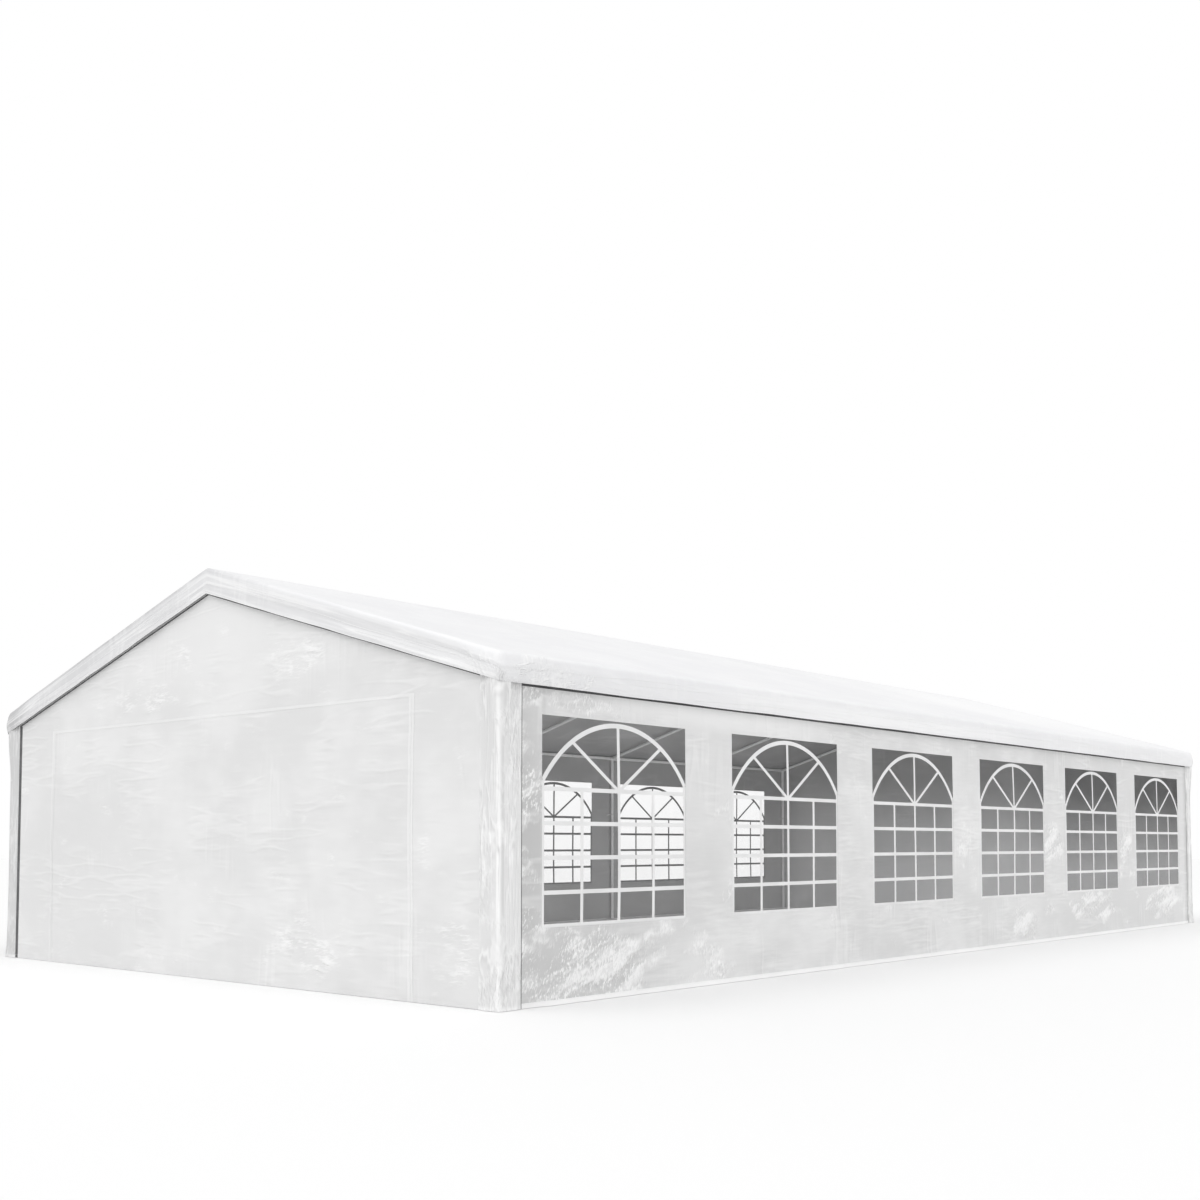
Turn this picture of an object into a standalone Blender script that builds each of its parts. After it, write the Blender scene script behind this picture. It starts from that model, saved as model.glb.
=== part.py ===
# Marquee tent with a steel tube frame, a gable roof cover and walls of woven sheet.
# X runs along the tent, Y across it and Z up. The origin is on the ground, under the middle of the tent.

import math

import bmesh
import bpy
from mathutils import Matrix, Vector

# Overall size in metres, over the corner covers
LENGTH = 12.0
WIDTH = 6.0
BAYS = 6

# Roof cover: heights of its top face, how far it stands out past the corner covers, and how deep it hangs
EAVE_HEIGHT = 2.083
RIDGE_HEIGHT = 2.972
OVERHANG = 0.03
EAVE_DROP = 0.169
RIDGE_DROP = 0.187

# Sheets, and the gap left between pieces that touch
SHEET = 0.003
FILM = 0.0015
GAP = 0.0003
HEM_CLEARANCE = 0.002
WALL_TOP_CLEARANCE = 0.03
CORNER_COVER_WIDTH = 0.175
CORNER_COVER_TOP = 2.03

# Windows: the first one's left edge is measured from the left end of the tent
WINDOW_WIDTH = 1.409
WINDOW_SILL = 0.466
WINDOW_TOP = 1.746
WINDOW_PITCH = 1.95
WINDOW_START = 0.36
FILM_LAP = 0.02

# Steel frame: tube, the sleeves round the rails, the arms that take legs and rafters, and the feet
TUBE_RADIUS = 0.019
SLEEVE_RADIUS = 0.0228
SLEEVE_REACH = 0.09
ARM_RADIUS = 0.021
ARM_REACH = 0.1
COVER_SEAT = 0.0225
FOOT_SIZE = 0.12
FOOT_THICKNESS = 0.005
TUBE_SIDES = 12

# Derived sizes
cover_half_length = LENGTH / 2 + OVERHANG
cover_half_width = WIDTH / 2 + OVERHANG
roof_slope = (RIDGE_HEIGHT - EAVE_HEIGHT) / cover_half_width
roof_angle = math.atan(roof_slope)
wall_inset = SHEET + GAP
wall_depth = wall_inset + SHEET
steel_inset = wall_depth + GAP
line_inset = steel_inset + SLEEVE_RADIUS
frame_half_length = LENGTH / 2 - line_inset
frame_half_width = WIDTH / 2 - line_inset
frame_spacing = 2 * frame_half_length / BAYS


def cover_underside(y):
    return RIDGE_HEIGHT - SHEET / math.cos(roof_angle) - roof_slope * abs(y)


def tube_line_height(y):
    return cover_underside(y) - COVER_SEAT / math.cos(roof_angle)


def wall_top(y):
    return cover_underside(y) - WALL_TOP_CLEARANCE


def frame_place(number):
    return -frame_half_length + number * frame_spacing


def clear_scene():
    for item in list(bpy.data.objects):
        bpy.data.objects.remove(item)


def make_material(name, colour, roughness, metallic, alpha=1.0):
    material = bpy.data.materials.new(name)
    material.use_nodes = True
    shader = material.node_tree.nodes["Principled BSDF"]
    shader.inputs["Base Color"].default_value = (*colour, 1.0)
    shader.inputs["Roughness"].default_value = roughness
    shader.inputs["Metallic"].default_value = metallic
    shader.inputs["Alpha"].default_value = alpha
    return material


def add_object(name, mesh, material, location=(0, 0, 0)):
    mesh.materials.clear()
    mesh.materials.append(material)
    piece = bpy.data.objects.new(name, mesh)
    piece.location = location
    bpy.context.scene.collection.objects.link(piece)
    return piece


# Shapes

def rod_mesh(start, end, radius):
    axis = Vector(end) - Vector(start)
    shape = bmesh.new()
    bmesh.ops.create_cone(shape, cap_ends=True, segments=TUBE_SIDES,
                          radius1=radius, radius2=radius, depth=axis.length)
    turn = axis.to_track_quat("Z", "Y").to_matrix().to_4x4()
    middle = (Vector(start) + Vector(end)) / 2
    bmesh.ops.transform(shape, matrix=Matrix.Translation(middle) @ turn, verts=shape.verts)
    mesh = bpy.data.meshes.new("rod")
    shape.to_mesh(mesh)
    shape.free()
    mesh.shade_smooth()
    mesh.set_sharp_from_angle(angle=math.radians(40))
    return mesh


def add_box(shape, low, high):
    middle = (Vector(low) + Vector(high)) / 2
    size = Vector(high) - Vector(low)
    scale = Matrix.Diagonal((*size, 1.0))
    bmesh.ops.create_cube(shape, size=1.0, matrix=Matrix.Translation(middle) @ scale)


def box_mesh(*boxes):
    shape = bmesh.new()
    for low, high in boxes:
        add_box(shape, low, high)
    mesh = bpy.data.meshes.new("box")
    shape.to_mesh(mesh)
    shape.free()
    return mesh


def prism_mesh(outline, depth):
    # The outline is a list of corners in space, and depth is the vector that it is extruded along.
    shape = bmesh.new()
    face = shape.faces.new([shape.verts.new(point) for point in outline])
    copy = bmesh.ops.extrude_face_region(shape, geom=[face])
    moved = [item for item in copy["geom"] if isinstance(item, bmesh.types.BMVert)]
    bmesh.ops.translate(shape, verts=moved, vec=depth)
    bmesh.ops.recalc_face_normals(shape, faces=shape.faces)
    mesh = bpy.data.meshes.new("prism")
    shape.to_mesh(mesh)
    shape.free()
    return mesh


def fuse(meshes):
    # Boolean union of the given meshes, as one mesh
    helpers = [bpy.data.objects.new("helper", mesh) for mesh in meshes]
    for helper in helpers:
        bpy.context.scene.collection.objects.link(helper)
    body = helpers[0]
    for helper in helpers[1:]:
        union = body.modifiers.new("union", "BOOLEAN")
        union.operation = "UNION"
        union.object = helper
    view = bpy.context.evaluated_depsgraph_get()
    fused = bpy.data.meshes.new_from_object(body.evaluated_get(view))
    for helper in helpers:
        bpy.data.objects.remove(helper)
    return fused


# Steel frame

def leg_mesh(side, end):
    # side is -1 or 1 across the tent; end is -1, 0 or 1 along it, and 0 is a leg between the corners.
    plate_y = side * (SLEEVE_RADIUS - FOOT_SIZE / 2)
    plate_x = end * (SLEEVE_RADIUS - FOOT_SIZE / 2)
    half = FOOT_SIZE / 2
    plate = box_mesh(((plate_x - half, plate_y - half, 0), (plate_x + half, plate_y + half, FOOT_THICKNESS)))
    top = tube_line_height(frame_half_width) - ARM_REACH - GAP
    tube = rod_mesh((0, 0, FOOT_THICKNESS / 2), (0, 0, top), TUBE_RADIUS)
    return fuse([plate, tube])


def add_legs(material):
    for label, side in (("front", -1), ("back", 1)):
        for number in range(BAYS + 1):
            end = -1 if number == 0 else 1 if number == BAYS else 0
            place = (frame_place(number), side * frame_half_width, 0)
            add_object(f"leg_{label}_{number + 1}", leg_mesh(side, end), material, place)


def add_rafters(material):
    eave_line = Vector((0, frame_half_width, tube_line_height(frame_half_width)))
    ridge_line = Vector((0, 0, tube_line_height(0)))
    along = (ridge_line - eave_line).normalized()
    start = eave_line + along * (ARM_REACH + GAP)
    end = ridge_line - along * (ARM_REACH + GAP)
    for label, side in (("front", -1), ("back", 1)):
        turn = Vector((1, side, 1))
        mesh = rod_mesh(start * turn, end * turn, TUBE_RADIUS)
        for number in range(BAYS + 1):
            add_object(f"rafter_{label}_{number + 1}", mesh, material, (frame_place(number), 0, 0))


def connector_mesh(number, arms):
    # A sleeve along the rail, cut short at the ends of the tent, with arms that start on the rail's line
    left = SLEEVE_RADIUS if number == 0 else SLEEVE_REACH
    right = SLEEVE_RADIUS if number == BAYS else SLEEVE_REACH
    pieces = [rod_mesh((-left, 0, 0), (right, 0, 0), SLEEVE_RADIUS)]
    for arm in arms:
        pieces.append(rod_mesh((0, 0, 0), arm * ARM_REACH, ARM_RADIUS))
    return fuse(pieces)


def rail_mesh(arms):
    pieces = [rod_mesh((-frame_half_length, 0, 0), (frame_half_length, 0, 0), TUBE_RADIUS)]
    for number in range(BAYS + 1):
        connector = connector_mesh(number, arms)
        connector.transform(Matrix.Translation((frame_place(number), 0, 0)))
        pieces.append(connector)
    return fuse(pieces)


def add_rails(material):
    down = Vector((0, 0, -1))
    rise = math.sin(roof_angle)
    run = math.cos(roof_angle)
    eave_height = tube_line_height(frame_half_width)
    for label, side in (("front", -1), ("back", 1)):
        mesh = rail_mesh([down, Vector((0, -side * run, rise))])
        add_object(f"eave_rail_{label}", mesh, material, (0, side * frame_half_width, eave_height))
    ridge = rail_mesh([Vector((0, -run, -rise)), Vector((0, run, -rise))])
    add_object("ridge_rail", ridge, material, (0, 0, tube_line_height(0)))


# Sheets

def add_roof_cover(material):
    # The top face of both slopes and the outer faces of the hanging bands, thickened inwards
    shape = bmesh.new()
    ends = []
    for x in (-cover_half_length, cover_half_length):
        ends.append({
            "front_hem": shape.verts.new((x, -cover_half_width, EAVE_HEIGHT - EAVE_DROP)),
            "front_eave": shape.verts.new((x, -cover_half_width, EAVE_HEIGHT)),
            "ridge": shape.verts.new((x, 0, RIDGE_HEIGHT)),
            "back_eave": shape.verts.new((x, cover_half_width, EAVE_HEIGHT)),
            "back_hem": shape.verts.new((x, cover_half_width, EAVE_HEIGHT - EAVE_DROP)),
            "ridge_hem": shape.verts.new((x, 0, RIDGE_HEIGHT - RIDGE_DROP)),
        })
    left, right = ends
    edges = ("front_hem", "front_eave", "ridge", "back_eave", "back_hem")
    for first, second in zip(edges, edges[1:]):
        shape.faces.new((left[first], right[first], right[second], left[second]))
    for end in ends:
        shape.faces.new((end["front_hem"], end["front_eave"], end["ridge"], end["ridge_hem"]))
        shape.faces.new((end["ridge_hem"], end["ridge"], end["back_eave"], end["back_hem"]))
    bmesh.ops.recalc_face_normals(shape, faces=shape.faces)
    mesh = bpy.data.meshes.new("roof_cover")
    shape.to_mesh(mesh)
    shape.free()
    cover = add_object("roof_cover", mesh, material)
    thickness = cover.modifiers.new("thickness", "SOLIDIFY")
    thickness.thickness = SHEET
    thickness.offset = -1
    thickness.use_even_offset = True


def window_edges(number):
    left = -LENGTH / 2 + WINDOW_START + number * WINDOW_PITCH
    return left, left + WINDOW_WIDTH


def across(side, inner, outer):
    # The two Y limits of a layer, counted inwards from the corner covers' outer face, lower one first
    limits = (side * (WIDTH / 2 - inner), side * (WIDTH / 2 - outer))
    return min(limits), max(limits)


def add_long_walls(wall_material, film_material):
    half_length = LENGTH / 2 - wall_depth - GAP
    for label, side in (("front", -1), ("back", 1)):
        low_y, high_y = across(side, wall_depth, wall_inset)
        low = (-half_length, low_y, HEM_CLEARANCE)
        high = (half_length, high_y, wall_top(WIDTH / 2 - wall_inset))
        wall = add_object(f"{label}_wall", box_mesh((low, high)), wall_material)
        holes = []
        for number in range(BAYS):
            left, right = window_edges(number)
            holes.append(((left, low_y - SHEET, WINDOW_SILL), (right, high_y + SHEET, WINDOW_TOP)))
            film_low, film_high = across(side, steel_inset + FILM, steel_inset)
            low = (left - FILM_LAP, film_low, WINDOW_SILL - FILM_LAP)
            high = (right + FILM_LAP, film_high, WINDOW_TOP + FILM_LAP)
            add_object(f"{label}_window_{number + 1}", box_mesh((low, high)), film_material)
        cutter = add_object(f"{label}_window_holes", box_mesh(*holes), wall_material)
        cutter.hide_render = True
        cutter.display_type = "WIRE"
        cut = wall.modifiers.new("window holes", "BOOLEAN")
        cut.operation = "DIFFERENCE"
        cut.object = cutter


def add_gable_walls(material):
    half_width = WIDTH / 2 - wall_inset
    for label, end in (("left", -1), ("right", 1)):
        x = end * (LENGTH / 2 - wall_inset)
        outline = [
            (x, -half_width, HEM_CLEARANCE),
            (x, half_width, HEM_CLEARANCE),
            (x, half_width, wall_top(half_width)),
            (x, 0, wall_top(0)),
            (x, -half_width, wall_top(half_width)),
        ]
        add_object(f"{label}_gable_wall", prism_mesh(outline, (-end * SHEET, 0, 0)), material)


def add_corner_covers(material):
    up = (0, 0, CORNER_COVER_TOP - HEM_CLEARANCE)
    far = CORNER_COVER_WIDTH
    outline = [(0, 0), (far, 0), (far, SHEET), (SHEET, SHEET), (SHEET, far), (0, far)]
    for side_label, side in (("front", -1), ("back", 1)):
        for end_label, end in (("left", -1), ("right", 1)):
            corner = [
                (end * (LENGTH / 2 - x), side * (WIDTH / 2 - y), HEM_CLEARANCE)
                for x, y in outline
            ]
            add_object(f"corner_cover_{side_label}_{end_label}", prism_mesh(corner, up), material)


def build():
    clear_scene()
    steel = make_material("frame_tube", (0.78, 0.79, 0.8), 0.38, 0.1)
    roof_sheet = make_material("roof_fabric", (0.9, 0.91, 0.93), 0.45, 0.0)
    wall_sheet = make_material("wall_fabric", (0.8, 0.81, 0.82), 0.45, 0.0)
    corner_sheet = make_material("corner_fabric", (0.84, 0.85, 0.86), 0.45, 0.0)
    film = make_material("window_film", (0.7, 0.73, 0.75), 0.12, 0.0, 0.35)
    add_legs(steel)
    add_rafters(steel)
    add_rails(steel)
    add_roof_cover(roof_sheet)
    add_long_walls(wall_sheet, film)
    add_gable_walls(wall_sheet)
    add_corner_covers(corner_sheet)


build()
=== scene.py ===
from math import asin, atan, copysign, cos, hypot, pi, radians, sin, sqrt

import bpy
import numpy as np
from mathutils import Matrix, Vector, noise


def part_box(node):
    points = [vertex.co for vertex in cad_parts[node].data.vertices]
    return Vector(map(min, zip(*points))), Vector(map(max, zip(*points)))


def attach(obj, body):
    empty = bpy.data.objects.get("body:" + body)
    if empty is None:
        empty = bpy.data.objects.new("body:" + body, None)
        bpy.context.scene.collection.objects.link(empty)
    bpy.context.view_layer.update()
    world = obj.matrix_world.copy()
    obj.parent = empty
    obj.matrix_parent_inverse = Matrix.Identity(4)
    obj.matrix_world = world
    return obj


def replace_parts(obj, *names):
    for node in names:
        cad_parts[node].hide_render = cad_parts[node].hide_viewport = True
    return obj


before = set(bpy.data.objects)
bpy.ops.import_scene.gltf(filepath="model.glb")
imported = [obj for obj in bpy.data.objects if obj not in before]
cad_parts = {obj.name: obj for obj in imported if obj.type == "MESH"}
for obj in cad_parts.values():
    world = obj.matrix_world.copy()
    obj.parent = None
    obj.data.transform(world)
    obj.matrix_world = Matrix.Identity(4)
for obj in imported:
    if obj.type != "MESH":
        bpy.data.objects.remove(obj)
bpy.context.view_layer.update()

print("frame loaded")


# Shader and geometry nodes written as sums

class Link:
    # an output of a node; a sum on it adds a Math node to the same tree
    def __init__(self, nodes, socket):
        self.nodes = nodes
        self.socket = socket

    def math(self, operation, *values):
        return self.nodes.add("ShaderNodeMath", dict(enumerate(values)), {"operation": operation})

    def __add__(self, other):
        return self.math("ADD", self, other)

    def __sub__(self, other):
        return self.math("SUBTRACT", self, other)

    def __rsub__(self, other):
        return self.math("SUBTRACT", other, self)

    def __mul__(self, other):
        return self.math("MULTIPLY", self, other)

    def __abs__(self):
        return self.math("ABSOLUTE", self)

    __radd__ = __add__
    __rmul__ = __mul__

    def sine(self):
        return self.math("SINE", self)

    def between(self, low, high):
        # 0 below low, 1 above high, with soft ends
        sockets = {"Value": self, "From Min": low, "From Max": high}
        return self.nodes.add("ShaderNodeMapRange", sockets, {"interpolation_type": "SMOOTHSTEP"})


class Nodes:
    def __init__(self, tree):
        self.tree = tree

    def add(self, kind, sockets=None, settings=None, output=0):
        node = self.tree.nodes.new(kind)
        for key, value in (settings or {}).items():
            setattr(node, key, value)
        for key, value in (sockets or {}).items():
            self.feed(node.inputs[key], value)
        return Link(self, node.outputs[output])

    def feed(self, socket, value):
        if isinstance(value, Link):
            self.tree.links.new(value.socket, socket)
        else:
            socket.default_value = value


def tint(colour):
    # a grey level, or a pair of a level and its extra blue, as a colour
    level, blue = colour if isinstance(colour, tuple) else (colour, 0.0)
    return level, level, level + blue, 1


class Finish(Nodes):
    # a material with one Principled BSDF
    def __init__(self, name, **constants):
        self.material = bpy.data.materials.new(name)
        self.material.use_nodes = True
        super().__init__(self.material.node_tree)
        self.shader = self.tree.nodes["Principled BSDF"]
        self.set(**constants)

    def set(self, **values):
        for key, value in values.items():
            self.feed(self.shader.inputs[key.replace("_", " ")], value)

    def objectPlace(self):
        return self.add("ShaderNodeTexCoord", output="Object")

    def sheetPlace(self):
        return self.add("ShaderNodeUVMap", settings={"uv_map": "Sheet"})

    def part(self, vector, axis):
        return self.add("ShaderNodeSeparateXYZ", {0: vector}, output=axis)

    def stretch(self, vector, scale, shift):
        sockets = {0: vector, 1: scale, 2: shift}
        return self.add("ShaderNodeVectorMath", sockets, {"operation": "MULTIPLY_ADD"})

    def turned(self, vector, angle):
        sockets = {"Vector": vector, "Angle": angle}
        return self.add("ShaderNodeVectorRotate", sockets, {"rotation_type": "Z_AXIS"})

    def cloud(self, vector, scale, shift=(0, 0, 0), detail=2.0, rough=0.5):
        place = self.stretch(vector, scale, shift)
        sockets = {"Vector": place, "Scale": 1.0, "Detail": detail, "Roughness": rough}
        return self.add("ShaderNodeTexNoise", sockets)

    def crest(self, vector, scale, shift, width, detail=1.0):
        # thin lines along which the noise passes through its middle
        away = abs(self.cloud(vector, scale, shift, detail) - 0.5)
        return 1 - away.between(0.0, width)

    def spot(self, vector, middle, reach):
        # 1 in the middle of a place, 0 beyond its reach each way
        scale = (1 / reach[0], 1 / reach[1], 0)
        shift = (-middle[0] / reach[0], -middle[1] / reach[1], 0)
        offset = self.stretch(vector, scale, shift)
        away = self.add("ShaderNodeVectorMath", {0: offset}, {"operation": "LENGTH"}, 1)
        return 1 - away.between(0.25, 1.0)

    def mix(self, share, first, second):
        sockets = {0: share, 6: first if isinstance(first, Link) else tint(first), 7: tint(second)}
        return self.add("ShaderNodeMix", sockets, {"data_type": "RGBA"}, 2)

    def bump(self, height):
        # height in metres
        return self.add("ShaderNodeBump", {"Strength": 1.0, "Distance": 1.0, "Height": height})


# Sizes of the construction, most of them read from the frame

sides = {"front": -1, "back": 1}
ends = {"left": -1, "right": 1}
bayCount = 6
sleeveRadius = 0.0228
armReach = 0.1  # from the tubes' middle lines down to the ends of the connectors' arms
coverAtEave = 2.083  # the roof cover's top face over the eaves
ridgeHem = 2.785  # lowest point of the gable band under the ridge
filmLap = 0.02  # the films reach this far behind the wall
tentCentre = Vector((0, 0, 1.2))
roofLow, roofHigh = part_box("roof_cover")
wallLow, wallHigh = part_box("front_wall")
gableLow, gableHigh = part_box("left_gable_wall")
coverLow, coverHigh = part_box("corner_cover_front_left")
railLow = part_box("eave_rail_front")[0]
wallFace = -wallLow.y
gableFace = -gableLow.x
hemHeight = wallLow.z
legLine = -railLow.y - sleeveRadius
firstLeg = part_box("leg_front_1")[0].x + sleeveRadius
lastLeg = -firstLeg
legSpacing = (lastLeg - firstLeg) / bayCount
eaveLine = railLow.z + armReach
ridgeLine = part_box("ridge_rail")[1].z - sleeveRadius
bandSlope = (ridgeHem - roofLow.z) / roofHigh.y
roofSlope = (roofHigh.z - coverAtEave) / roofHigh.y


def windowEdges(number):
    low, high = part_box(f"front_window_{number}")
    return low.x + filmLap, high.x - filmLap, low.z + filmLap, high.z - filmLap


windows = [windowEdges(number) for number in range(1, bayCount + 1)]


# Meshes

def smooth(value, low, high):
    share = min(max((value - low) / (high - low), 0.0), 1.0)
    return share * share * (3 - 2 * share)


def wave(across, up, seed):
    return noise.noise(Vector((across, up, seed)))


def ridged(across, up, seed):
    # crests where the noise passes through zero
    return max(0.0, 1 - 4 * abs(wave(across, up, seed)))


def evenLines(low, high, cell, marks=()):
    # lines about a cell apart, with one at every mark
    stops = sorted({low, high, *[mark for mark in marks if low < mark < high]})
    lines = [low]
    for start, end in zip(stops, stops[1:]):
        count = max(1, round((end - start) / cell))
        lines += [start + (end - start) * step / count for step in range(1, count + 1)]
    return lines


def bothWays(reach, cell, marks=()):
    return evenLines(-reach, reach, cell, marks)


def addObject(name, mesh):
    piece = bpy.data.objects.new(name, mesh)
    bpy.context.scene.collection.objects.link(piece)
    return piece


def plainMesh(name, points, faces, finish, spread=None):
    mesh = bpy.data.meshes.new(name)
    mesh.from_pydata([tuple(point) for point in points], [], faces)
    if spread is not None:
        corners = np.zeros(len(mesh.loops), np.int32)
        mesh.loops.foreach_get("vertex_index", corners)
        layer = mesh.uv_layers.new(name="Sheet")
        layer.data.foreach_set("uv", np.array(spread, np.float32)[corners].ravel())
    mesh.materials.append(finish.material)
    return mesh


def evaluated(piece):
    view = bpy.context.evaluated_depsgraph_get()
    return bpy.data.meshes.new_from_object(piece.evaluated_get(view))


def softEdges(mesh, sharp):
    mesh.shade_smooth()
    mesh.set_sharp_from_angle(angle=radians(sharp))


def ridePiece(piece):
    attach(piece, "root")
    return piece


class Patch:
    # one or more pieces of cloth, as points, faces and flat places, before they get a thickness
    def __init__(self):
        self.points = []
        self.faces = []
        self.spread = []

    def grid(self, columns, rows, place, hole=None):
        start = len(self.points)
        width = len(columns)
        points = [Vector(place(u, v)) for v in rows for u in columns]
        faces = []
        for row in range(len(rows) - 1):
            for column in range(width - 1):
                middle = (columns[column] + columns[column + 1]) / 2, (rows[row] + rows[row + 1]) / 2
                if hole and hole(*middle):
                    continue
                first = start + row * width + column
                faces.append((first, first + 1, first + 1 + width, first + width))
        outwards = 0.0
        for face in faces:
            a, b, d = (points[face[corner] - start] for corner in (0, 1, 3))
            outwards += (b - a).cross(d - a).dot(a - tentCentre)
        self.points += points
        self.faces += [face[::-1] for face in faces] if outwards < 0 else faces
        self.spread += [(u, v) for v in rows for u in columns]
        return self

    def sheet(self, name, finish, thickness, sharp=50, inside=None):
        used = sorted({corner for face in self.faces for corner in face})
        place = {old: new for new, old in enumerate(used)}
        points = [self.points[corner] for corner in used]
        faces = [[place[corner] for corner in face] for face in self.faces]
        spread = [self.spread[corner] for corner in used]
        piece = addObject(name, plainMesh(name, points, faces, finish, spread))
        solid = piece.modifiers.new("thickness", "SOLIDIFY")
        solid.thickness = thickness
        solid.offset = 0
        if inside:
            piece.data.materials.append(inside.material)
            solid.material_offset = 1
        mesh = evaluated(piece)
        piece.modifiers.clear()
        piece.data = mesh
        softEdges(mesh, sharp)
        return piece


# Geometry Nodes tools

def newTool(name, **inputs):
    tree = bpy.data.node_groups.new(name, "GeometryNodeTree")
    for label, kind in {"Geometry": "Geometry", **inputs, "Material": "Material"}.items():
        tree.interface.new_socket(name=label, in_out="INPUT", socket_type=f"NodeSocket{kind}")
    tree.interface.new_socket(name="Geometry", in_out="OUTPUT", socket_type="NodeSocketGeometry")
    tool = Nodes(tree)
    source = tree.nodes.new("NodeGroupInput")
    given = {socket.name: Link(tool, socket) for socket in source.outputs if socket.name}
    return tool, given


def endTool(tool, given, geometry):
    real = tool.add("GeometryNodeRealizeInstances", {0: geometry})
    dressed = tool.add("GeometryNodeSetMaterial", {"Geometry": real, "Material": given["Material"]})
    tool.feed(tool.tree.nodes.new("NodeGroupOutput").inputs[0], dressed)
    return tool.tree


def endOnPoints(tool, given, points, instance, axis, way):
    # one instance on every point, its axis turned the way that is given
    turn = tool.add("FunctionNodeAlignRotationToVector", {"Vector": way}, {"axis": axis})
    sockets = {"Points": points, "Instance": instance, "Rotation": turn}
    return endTool(tool, given, tool.add("GeometryNodeInstanceOnPoints", sockets))


def runTool(tree, finish, points, edges, values, directions=None):
    values = {**values, "Material": finish.material}
    mesh = bpy.data.meshes.new("guide")
    mesh.from_pydata([tuple(point) for point in points], edges, [])
    if directions is not None:
        attribute = mesh.attributes.new("direction", "FLOAT_VECTOR", "POINT")
        attribute.data.foreach_set("vector", np.array(directions, np.float32).ravel())
    guide = addObject("guide", mesh)
    modifier = guide.modifiers.new("tool", "NODES")
    modifier.node_group = tree
    for item in tree.interface.items_tree:
        if item.in_out == "INPUT" and item.name in values:
            modifier[item.identifier] = values[item.name]
    made = evaluated(guide)
    bpy.data.objects.remove(guide)
    return made


# Finishes

def clothFinish(name, look, **changes):
    # coated sheet woven from flat tapes, with fold lines, level strokes, crumpled places and soft mottling
    look = {**look, **changes}
    seed = look["seed"]
    cloth = Finish(name, Sheen_Weight=0.08, Sheen_Roughness=0.5, Specular_IOR_Level=look["specular"])
    place = cloth.sheetPlace()
    turn = 2 * pi / look["tapePitch"]
    weave = (cloth.part(place, 0) * turn).sine() * (cloth.part(place, 1) * turn).sine()
    mottle = cloth.cloud(place, (1.1, 1.4, 1), (seed, 0, 0), 3, 0.6)
    brush = cloth.cloud(place, look["brushScale"], (seed, 4, 0), 3, 0.6)
    # each crease gets a painted highlight line and, a little further on, a painted shade line
    creased = cloth.cloud(place, (1.7, 2.3, 1), (7, 0, 0)).between(0.42, 0.62)
    pleated = cloth.cloud(place, (1.9, 1.5, 1), (0, 8, 0)).between(*look["pleated"])
    seeds = (seed, seed + look["darkSide"])
    folds = [cloth.crest(place, look["levelScale"], (0, each, 0), 0.07, 2) for each in seeds]
    pleats = [cloth.crest(place, look["uprightScale"], (each, 3, 0), 0.06, 2) for each in seeds]
    fold, under = [line * creased for line in folds]
    pleat, beside = [line * pleated for line in pleats]
    draped = cloth.turned(place, look["drapeTurn"])
    drape = cloth.cloud(draped, look["drapeScale"], (seed, 6, 0), 3, 0.45)
    loose = cloth.cloud(place, (3.1, 3.7, 1), (3, seed, 0), 3, 0.6)
    for middle, reach, share in look["crumpled"]:
        loose = loose + cloth.spot(place, middle, reach) * share
    patch = loose.between(*look["patch"])
    # broad folds lean one way through the crumpled places; their lit sides get painted light, the hollows
    # between strokes get painted shade, and the fine flecks are painted glints mixed with whitened crease
    # marks
    leaning = cloth.turned(place, look["foldTurn"])
    broad = cloth.cloud(leaning, look["foldScale"], (seed, 9, 0), 3, 0.6)
    lit = broad.between(0.45, 0.6) * patch
    slanted = cloth.turned(place, look["strokeTurn"])
    stroke = cloth.cloud(slanted, look["strokeScale"], (5, 1, 0), 3, 0.65)
    facet = cloth.cloud(slanted, tuple(0.4 * scale for scale in look["strokeScale"]), (2, 6, 0), 2, 0.6)
    fleck = (stroke + (facet - 0.5) * 0.5 + (broad - 0.5) * 0.7).between(*look["fleck"]) * patch
    gap = (1 - stroke.between(0.36, 0.5)) * (1 - lit) * patch
    height = weave * look["tapeHeight"] + fold * look["crease"] + pleat * (0.7 * look["crease"])
    height = height + drape * look["drape"] + (stroke + facet + lit * 2) * patch * look["crinkle"]
    shade = mottle.between(0.35, 0.68) + (brush - 0.5) * (creased * 0.7 + 0.3) * look["brush"]
    colour = cloth.mix(shade, look["shade"], look["colour"])
    # spots of painted light and painted shade
    for middle, reach, share, tone in look["tones"]:
        colour = cloth.mix(cloth.spot(place, middle, reach) * share, colour, tone)
    # along each strip: a painted highlight line, painted shade beside it, and the crease's bump
    for middle, reach, scale, share in look["streaks"]:
        strip = cloth.spot(place, middle, reach)
        dull = cloth.cloud(place, scale, (2, 2, 0), 2).between(0.42, 0.6) * strip
        line = cloth.crest(place, scale, (4, 7, 0), 0.035) * strip
        colour = cloth.mix(line * share, cloth.mix(dull * share, colour, look["shadowColour"]), look["glint"])
        height = height + (line - dull) * (1.5 * look["crease"])
    # painted shade beside the creases, then painted highlights along them
    colour = cloth.mix((under + beside) * look["foldShade"], colour, look["shadowColour"])
    colour = cloth.mix((fold + pleat) * look["foldLight"], colour, look["glint"])
    # painted light on the folds' lit sides and painted shade in the hollows
    colour = cloth.mix(lit * look["litShare"], colour, look["glint"])
    colour = cloth.mix(gap * look["gapShade"], colour, look["shadowColour"])
    # flecks: painted glints together with whitened crease marks
    cloth.set(Base_Color=cloth.mix(fleck * look["fleckLight"], colour, look["glint"]))
    cloth.set(Roughness=look["roughness"] + (mottle - 0.5) * 0.15, Normal=cloth.bump(height))
    return cloth


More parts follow.
